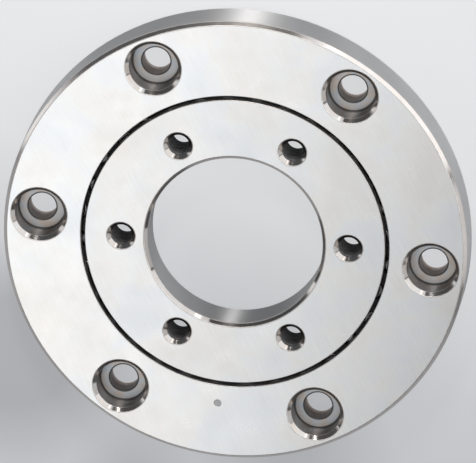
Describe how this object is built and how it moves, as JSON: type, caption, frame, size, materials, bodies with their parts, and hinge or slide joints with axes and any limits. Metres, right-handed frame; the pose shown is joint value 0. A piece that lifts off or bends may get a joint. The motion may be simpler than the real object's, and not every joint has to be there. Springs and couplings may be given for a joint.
{
  "type": "crossed roller bearing",
  "caption": "Slim crossed roller bearing with counterbored outer and tapped inner mounting holes; its inner ring turns on rollers crossed at right angles.",
  "frame": {"origin": "centre of the bearing's axis at the back face, which it lies on", "axes": "+Z along the bearing's axis, out of the counterbored front face; +X through one counterbored hole; the filling plug is at -Y"},
  "size_m": [0.053, 0.053, 0.005],
  "materials": {
    "ring_steel": "fine ground, slightly satin",
    "plug_steel": "ground",
    "pin_steel": "ground, duller than the ring",
    "roller_steel": "polished",
    "spacer_resin": "moulded resin, dark"
  },
  "bodies": {
    "outer_ring": {"outer_ring": "ring_steel", "filling_plug": "plug_steel", "plug_pin": "pin_steel"},
    "inner_ring": {"inner_ring": "ring_steel"},
    "roller_row": {"spacers": "spacer_resin"},
    "roller_01": {"roller_01": "roller_steel"},
    "roller_02": {"roller_02": "roller_steel"},
    "roller_03": {"roller_03": "roller_steel"},
    "roller_04": {"roller_04": "roller_steel"},
    "roller_05": {"roller_05": "roller_steel"},
    "roller_06": {"roller_06": "roller_steel"},
    "roller_07": {"roller_07": "roller_steel"},
    "roller_08": {"roller_08": "roller_steel"},
    "roller_09": {"roller_09": "roller_steel"},
    "roller_10": {"roller_10": "roller_steel"},
    "roller_11": {"roller_11": "roller_steel"},
    "roller_12": {"roller_12": "roller_steel"},
    "roller_13": {"roller_13": "roller_steel"},
    "roller_14": {"roller_14": "roller_steel"},
    "roller_15": {"roller_15": "roller_steel"},
    "roller_16": {"roller_16": "roller_steel"},
    "roller_17": {"roller_17": "roller_steel"},
    "roller_18": {"roller_18": "roller_steel"},
    "roller_19": {"roller_19": "roller_steel"},
    "roller_20": {"roller_20": "roller_steel"},
    "roller_21": {"roller_21": "roller_steel"},
    "roller_22": {"roller_22": "roller_steel"},
    "roller_23": {"roller_23": "roller_steel"},
    "roller_24": {"roller_24": "roller_steel"},
    "roller_25": {"roller_25": "roller_steel"},
    "roller_26": {"roller_26": "roller_steel"},
    "roller_27": {"roller_27": "roller_steel"},
    "roller_28": {"roller_28": "roller_steel"},
    "roller_29": {"roller_29": "roller_steel"},
    "roller_30": {"roller_30": "roller_steel"},
    "roller_31": {"roller_31": "roller_steel"},
    "roller_32": {"roller_32": "roller_steel"}
  },
  "joints": [
    {"name": "inner_ring_spin", "type": "hinge", "parent": "outer_ring", "child": "inner_ring", "pos_m": [0, 0, 0.0025], "axis": [0, 0, 1], "continuous": true},
    {"name": "roller_row_spin", "type": "hinge", "parent": "outer_ring", "child": "roller_row", "pos_m": [0, 0, 0.0025], "axis": [0, 0, 1], "continuous": true},
    {"name": "roller_01_spin", "type": "hinge", "parent": "roller_row", "child": "roller_01", "pos_m": [0.01739, -0.00068, 0.0025], "axis": [0.7066, -0.0278, 0.7071], "continuous": true},
    {"name": "roller_02_spin", "type": "hinge", "parent": "roller_row", "child": "roller_02", "pos_m": [0.01719, 0.00272, 0.0025], "axis": [-0.6984, -0.1106, 0.7071], "continuous": true},
    {"name": "roller_03_spin", "type": "hinge", "parent": "roller_row", "child": "roller_03", "pos_m": [0.01632, 0.00602, 0.0025], "axis": [0.6634, 0.2447, 0.7071], "continuous": true},
    {"name": "roller_04_spin", "type": "hinge", "parent": "roller_row", "child": "roller_04", "pos_m": [0.01484, 0.00909, 0.0025], "axis": [-0.6029, -0.3695, 0.7071], "continuous": true},
    {"name": "roller_05_spin", "type": "hinge", "parent": "roller_row", "child": "roller_05", "pos_m": [0.01278, 0.01181, 0.0025], "axis": [0.5192, 0.48, 0.7071], "continuous": true},
    {"name": "roller_06_spin", "type": "hinge", "parent": "roller_row", "child": "roller_06", "pos_m": [0.01023, 0.01408, 0.0025], "axis": [-0.4156, -0.5721, 0.7071], "continuous": true},
    {"name": "roller_07_spin", "type": "hinge", "parent": "roller_row", "child": "roller_07", "pos_m": [0.00728, 0.0158, 0.0025], "axis": [0.296, 0.6422, 0.7071], "continuous": true},
    {"name": "roller_08_spin", "type": "hinge", "parent": "roller_row", "child": "roller_08", "pos_m": [0.00406, 0.01692, 0.0025], "axis": [-0.1651, -0.6876, 0.7071], "continuous": true},
    {"name": "roller_09_spin", "type": "hinge", "parent": "roller_row", "child": "roller_09", "pos_m": [0.00068, 0.01739, 0.0025], "axis": [0.0278, 0.7066, 0.7071], "continuous": true},
    {"name": "roller_10_spin", "type": "hinge", "parent": "roller_row", "child": "roller_10", "pos_m": [-0.00272, 0.01719, 0.0025], "axis": [0.1106, -0.6984, 0.7071], "continuous": true},
    {"name": "roller_11_spin", "type": "hinge", "parent": "roller_row", "child": "roller_11", "pos_m": [-0.00602, 0.01632, 0.0025], "axis": [-0.2447, 0.6634, 0.7071], "continuous": true},
    {"name": "roller_12_spin", "type": "hinge", "parent": "roller_row", "child": "roller_12", "pos_m": [-0.00909, 0.01484, 0.0025], "axis": [0.3695, -0.6029, 0.7071], "continuous": true},
    {"name": "roller_13_spin", "type": "hinge", "parent": "roller_row", "child": "roller_13", "pos_m": [-0.01181, 0.01278, 0.0025], "axis": [-0.48, 0.5192, 0.7071], "continuous": true},
    {"name": "roller_14_spin", "type": "hinge", "parent": "roller_row", "child": "roller_14", "pos_m": [-0.01408, 0.01023, 0.0025], "axis": [0.5721, -0.4156, 0.7071], "continuous": true},
    {"name": "roller_15_spin", "type": "hinge", "parent": "roller_row", "child": "roller_15", "pos_m": [-0.0158, 0.00728, 0.0025], "axis": [-0.6422, 0.296, 0.7071], "continuous": true},
    {"name": "roller_16_spin", "type": "hinge", "parent": "roller_row", "child": "roller_16", "pos_m": [-0.01692, 0.00406, 0.0025], "axis": [0.6876, -0.1651, 0.7071], "continuous": true},
    {"name": "roller_17_spin", "type": "hinge", "parent": "roller_row", "child": "roller_17", "pos_m": [-0.01739, 0.00068, 0.0025], "axis": [-0.7066, 0.0278, 0.7071], "continuous": true},
    {"name": "roller_18_spin", "type": "hinge", "parent": "roller_row", "child": "roller_18", "pos_m": [-0.01719, -0.00272, 0.0025], "axis": [0.6984, 0.1106, 0.7071], "continuous": true},
    {"name": "roller_19_spin", "type": "hinge", "parent": "roller_row", "child": "roller_19", "pos_m": [-0.01632, -0.00602, 0.0025], "axis": [-0.6634, -0.2447, 0.7071], "continuous": true},
    {"name": "roller_20_spin", "type": "hinge", "parent": "roller_row", "child": "roller_20", "pos_m": [-0.01484, -0.00909, 0.0025], "axis": [0.6029, 0.3695, 0.7071], "continuous": true},
    {"name": "roller_21_spin", "type": "hinge", "parent": "roller_row", "child": "roller_21", "pos_m": [-0.01278, -0.01181, 0.0025], "axis": [-0.5192, -0.48, 0.7071], "continuous": true},
    {"name": "roller_22_spin", "type": "hinge", "parent": "roller_row", "child": "roller_22", "pos_m": [-0.01023, -0.01408, 0.0025], "axis": [0.4156, 0.5721, 0.7071], "continuous": true},
    {"name": "roller_23_spin", "type": "hinge", "parent": "roller_row", "child": "roller_23", "pos_m": [-0.00728, -0.0158, 0.0025], "axis": [-0.296, -0.6422, 0.7071], "continuous": true},
    {"name": "roller_24_spin", "type": "hinge", "parent": "roller_row", "child": "roller_24", "pos_m": [-0.00406, -0.01692, 0.0025], "axis": [0.1651, 0.6876, 0.7071], "continuous": true},
    {"name": "roller_25_spin", "type": "hinge", "parent": "roller_row", "child": "roller_25", "pos_m": [-0.00068, -0.01739, 0.0025], "axis": [-0.0278, -0.7066, 0.7071], "continuous": true},
    {"name": "roller_26_spin", "type": "hinge", "parent": "roller_row", "child": "roller_26", "pos_m": [0.00272, -0.01719, 0.0025], "axis": [-0.1106, 0.6984, 0.7071], "continuous": true},
    {"name": "roller_27_spin", "type": "hinge", "parent": "roller_row", "child": "roller_27", "pos_m": [0.00602, -0.01632, 0.0025], "axis": [0.2447, -0.6634, 0.7071], "continuous": true},
    {"name": "roller_28_spin", "type": "hinge", "parent": "roller_row", "child": "roller_28", "pos_m": [0.00909, -0.01484, 0.0025], "axis": [-0.3695, 0.6029, 0.7071], "continuous": true},
    {"name": "roller_29_spin", "type": "hinge", "parent": "roller_row", "child": "roller_29", "pos_m": [0.01181, -0.01278, 0.0025], "axis": [0.48, -0.5192, 0.7071], "continuous": true},
    {"name": "roller_30_spin", "type": "hinge", "parent": "roller_row", "child": "roller_30", "pos_m": [0.01408, -0.01023, 0.0025], "axis": [-0.5721, 0.4156, 0.7071], "continuous": true},
    {"name": "roller_31_spin", "type": "hinge", "parent": "roller_row", "child": "roller_31", "pos_m": [0.0158, -0.00728, 0.0025], "axis": [0.6422, -0.296, 0.7071], "continuous": true},
    {"name": "roller_32_spin", "type": "hinge", "parent": "roller_row", "child": "roller_32", "pos_m": [0.01692, -0.00406, 0.0025], "axis": [-0.6876, 0.1651, 0.7071], "continuous": true}
  ],
  "couplings": [
    {"joint": "roller_row_spin", "follows": "inner_ring_spin", "ratio": 0.47968},
    {"joint": "roller_01_spin", "follows": "inner_ring_spin", "ratio": -8.6856},
    {"joint": "roller_02_spin", "follows": "inner_ring_spin", "ratio": -8.6856},
    {"joint": "roller_03_spin", "follows": "inner_ring_spin", "ratio": -8.6856},
    {"joint": "roller_04_spin", "follows": "inner_ring_spin", "ratio": -8.6856},
    {"joint": "roller_05_spin", "follows": "inner_ring_spin", "ratio": -8.6856},
    {"joint": "roller_06_spin", "follows": "inner_ring_spin", "ratio": -8.6856},
    {"joint": "roller_07_spin", "follows": "inner_ring_spin", "ratio": -8.6856},
    {"joint": "roller_08_spin", "follows": "inner_ring_spin", "ratio": -8.6856},
    {"joint": "roller_09_spin", "follows": "inner_ring_spin", "ratio": -8.6856},
    {"joint": "roller_10_spin", "follows": "inner_ring_spin", "ratio": -8.6856},
    {"joint": "roller_11_spin", "follows": "inner_ring_spin", "ratio": -8.6856},
    {"joint": "roller_12_spin", "follows": "inner_ring_spin", "ratio": -8.6856},
    {"joint": "roller_13_spin", "follows": "inner_ring_spin", "ratio": -8.6856},
    {"joint": "roller_14_spin", "follows": "inner_ring_spin", "ratio": -8.6856},
    {"joint": "roller_15_spin", "follows": "inner_ring_spin", "ratio": -8.6856},
    {"joint": "roller_16_spin", "follows": "inner_ring_spin", "ratio": -8.6856},
    {"joint": "roller_17_spin", "follows": "inner_ring_spin", "ratio": -8.6856},
    {"joint": "roller_18_spin", "follows": "inner_ring_spin", "ratio": -8.6856},
    {"joint": "roller_19_spin", "follows": "inner_ring_spin", "ratio": -8.6856},
    {"joint": "roller_20_spin", "follows": "inner_ring_spin", "ratio": -8.6856},
    {"joint": "roller_21_spin", "follows": "inner_ring_spin", "ratio": -8.6856},
    {"joint": "roller_22_spin", "follows": "inner_ring_spin", "ratio": -8.6856},
    {"joint": "roller_23_spin", "follows": "inner_ring_spin", "ratio": -8.6856},
    {"joint": "roller_24_spin", "follows": "inner_ring_spin", "ratio": -8.6856},
    {"joint": "roller_25_spin", "follows": "inner_ring_spin", "ratio": -8.6856},
    {"joint": "roller_26_spin", "follows": "inner_ring_spin", "ratio": -8.6856},
    {"joint": "roller_27_spin", "follows": "inner_ring_spin", "ratio": -8.6856},
    {"joint": "roller_28_spin", "follows": "inner_ring_spin", "ratio": -8.6856},
    {"joint": "roller_29_spin", "follows": "inner_ring_spin", "ratio": -8.6856},
    {"joint": "roller_30_spin", "follows": "inner_ring_spin", "ratio": -8.6856},
    {"joint": "roller_31_spin", "follows": "inner_ring_spin", "ratio": -8.6856},
    {"joint": "roller_32_spin", "follows": "inner_ring_spin", "ratio": -8.6856}
  ]
}
